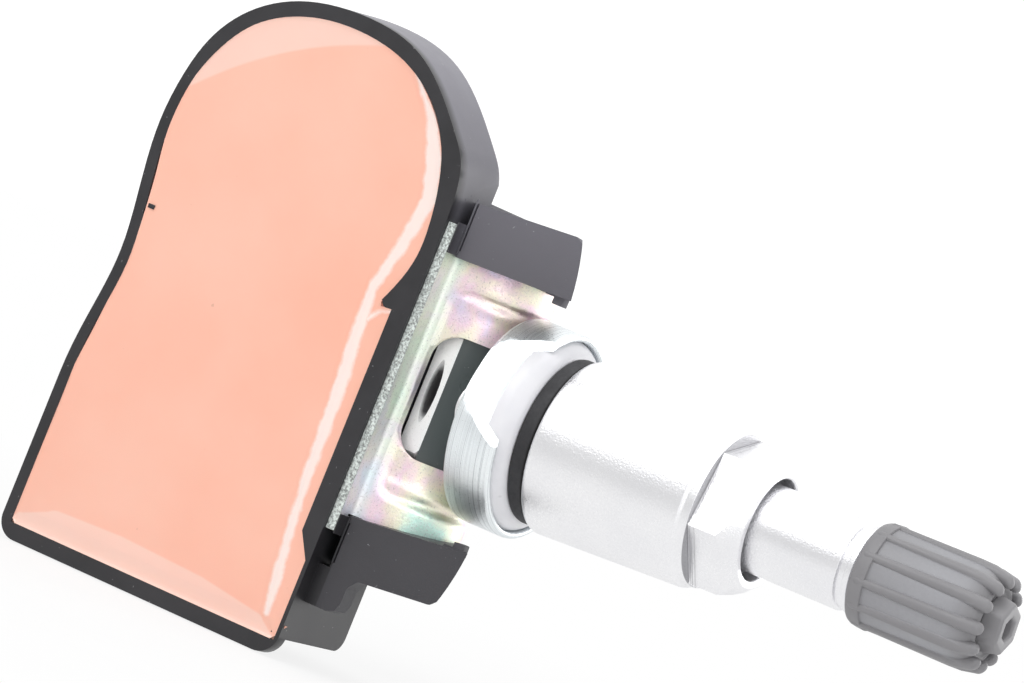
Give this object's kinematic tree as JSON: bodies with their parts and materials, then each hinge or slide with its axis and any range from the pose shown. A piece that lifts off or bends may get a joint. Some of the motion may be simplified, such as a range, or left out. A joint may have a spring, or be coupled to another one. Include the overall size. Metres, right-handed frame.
{
  "type": "tyre pressure sensor",
  "caption": "Tyre pressure sensor: black housing with a round head filled with salmon potting, slotted steel swivel bracket, and an aluminium valve with seal, sleeve nut and ribbed grey dust cap",
  "frame": {"origin": "on the valve's centre line at the outer face of the rubber seal, where the inner edge of the sleeve nut sits", "axes": "+X outwards along the valve, +Z along the housing with the round head up, +Y from the potted front to the back"},
  "size_m": [0.0883, 0.019, 0.0554],
  "materials": {
    "black_plastic": "matte",
    "potting": "gloss",
    "steel": "satin",
    "board": "satin",
    "chip_black": "matte",
    "brass": "satin",
    "zinc_steel": "zinc plated",
    "aluminium": "satin anodised",
    "grey_plastic": "satin",
    "rubber": "matte"
  },
  "bodies": {
    "valve": {"valve_stem": "aluminium", "saddle_ring": "zinc_steel", "plastic_washer": "grey_plastic", "rubber_seal": "rubber", "pivot_slider": "black_plastic", "core_body": "brass", "core_seal": "rubber", "core_spring": "steel"},
    "sensor": {"housing": "black_plastic", "potting_compound": "potting", "battery": "steel", "battery_front_tab": "steel", "battery_side_tab": "steel", "circuit_board": "board", "pressure_sensor_chip": "chip_black", "radio_chip": "chip_black", "timing_crystal": "steel", "capacitors": "chip_black", "wake_coil": "brass", "antenna": "brass", "bracket": "zinc_steel"},
    "nut": {"sleeve_nut": "aluminium"},
    "cap": {"dust_cap": "grey_plastic", "cap_seal": "rubber"},
    "pin": {"core_pin": "brass", "core_plug": "rubber"}
  },
  "joints": [
    {"name": "valve_swivel", "type": "hinge", "parent": "valve", "child": "sensor", "pos_m": [-0.0139, 0, 0], "axis": [0, 0, 1], "range_deg": [-20, 20]},
    {"name": "nut_travel", "type": "slide", "parent": "valve", "child": "nut", "axis": [1, 0, 0], "range_m": [0, 0.0085]},
    {"name": "cap_pull", "type": "slide", "parent": "valve", "child": "cap", "axis": [1, 0, 0], "range_m": [0, 0.0125]},
    {"name": "core_press", "type": "slide", "parent": "valve", "child": "pin", "axis": [1, 0, 0], "range_m": [-0.0012, 0], "stiffness_N_per_m": 400, "springref_m": 0.002, "deforming": ["core_spring"]}
  ]
}
